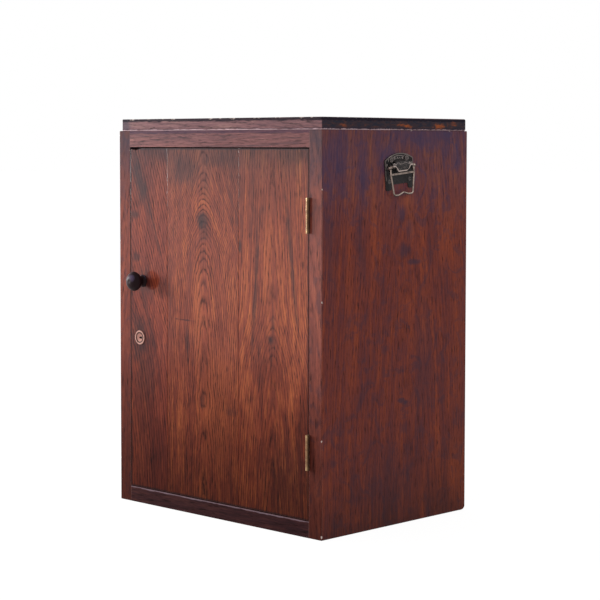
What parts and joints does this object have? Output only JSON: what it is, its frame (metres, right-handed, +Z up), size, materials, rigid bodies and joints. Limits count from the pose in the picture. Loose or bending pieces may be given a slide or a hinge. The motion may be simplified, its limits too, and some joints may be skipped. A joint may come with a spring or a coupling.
{
  "type": "small one-door cabinet",
  "caption": "Small upright teak box cabinet with one inset door on butt hinges, a turned knob, a cylinder lock, a shelf and lifting handles on its sides.",
  "frame": {"origin": "centre of the carcass on the floor, at the underside of the bottom boards", "axes": "+X to the cabinet's right seen from the front, +Y to the back, +Z up; the door faces -Y"},
  "size_m": [0.4606, 0.3481, 0.6],
  "materials": {
    "teak_side": "satin",
    "teak_top": "satin",
    "teak_rail": "satin",
    "teak_door": "satin",
    "teak_inside": "matt",
    "old_iron": "dull",
    "hinge_brass": "aged",
    "lock_brass": "aged",
    "handle_bronze": "dark patina, worn bright on edges",
    "knob_wood": "gloss"
  },
  "bodies": {
    "carcass": {"side_left": "teak_side", "side_right": "teak_side", "top_board_front": "teak_top", "top_board_rear": "teak_top", "top_nails": "old_iron", "top_rail_front": "teak_rail", "top_rail_back": "teak_rail", "bottom_board_front": "teak_rail", "bottom_board_rear": "teak_rail", "back_board_left": "teak_inside", "back_board_middle": "teak_inside", "back_board_right": "teak_inside", "back_nails": "old_iron", "shelf": "teak_inside", "shelf_cleat_left": "teak_inside", "shelf_cleat_right": "teak_inside", "door_stop_lower": "teak_inside", "door_stop_upper": "teak_inside", "lath_nails": "old_iron", "hinge_upper_frame_leaf": "hinge_brass", "hinge_lower_frame_leaf": "hinge_brass", "hinge_upper_pin": "hinge_brass", "hinge_lower_pin": "hinge_brass", "hinge_frame_screws": "hinge_brass", "strike_plate": "lock_brass", "strike_screws": "old_iron", "handle_plate_right": "handle_bronze", "handle_plate_left": "handle_bronze", "handle_screws_right": "handle_bronze", "handle_screws_left": "handle_bronze", "handle_pin_right": "handle_bronze", "handle_pin_left": "handle_bronze"},
    "door": {"door_board_left": "teak_door", "door_board_middle": "teak_door", "door_board_right": "teak_door", "door_batten_upper": "teak_inside", "door_batten_lower": "teak_inside", "batten_nails": "old_iron", "knob": "knob_wood", "knob_screw": "old_iron", "lock_cylinder": "lock_brass", "lock_case": "lock_brass", "lock_case_screws": "old_iron", "hinge_upper_door_leaf": "hinge_brass", "hinge_lower_door_leaf": "hinge_brass", "hinge_door_screws": "hinge_brass"},
    "plug": {"lock_plug": "lock_brass", "lock_cam": "lock_brass"},
    "bolt": {"lock_bolt": "lock_brass"},
    "bail_right": {"handle_bail_right": "handle_bronze"},
    "bail_left": {"handle_bail_left": "handle_bronze"}
  },
  "joints": [
    {"name": "door_hinge", "type": "hinge", "parent": "carcass", "child": "door", "pos_m": [0.1944, -0.1628, 0.29], "axis": [0, 0, 1], "range_deg": [0, 180]},
    {"name": "key_turn", "type": "hinge", "parent": "door", "child": "plug", "pos_m": [-0.172, -0.15, 0.2604], "axis": [0, 1, 0], "range_deg": [0, 90]},
    {"name": "bolt_slide", "type": "slide", "parent": "door", "child": "bolt", "axis": [-1, 0, 0], "range_m": [0, 0.008]},
    {"name": "bail_right_swing", "type": "hinge", "parent": "carcass", "child": "bail_right", "pos_m": [0.2272, 0.0014, 0.529], "axis": [0, -0.9962, -0.0872], "range_deg": [-7, 110]},
    {"name": "bail_left_swing", "type": "hinge", "parent": "carcass", "child": "bail_left", "pos_m": [-0.2272, 0.0014, 0.529], "axis": [0, 1, 0], "range_deg": [-7, 110]}
  ],
  "couplings": [
    {"joint": "bolt_slide", "follows": "key_turn", "m_per_rad": 0.00509}
  ]
}
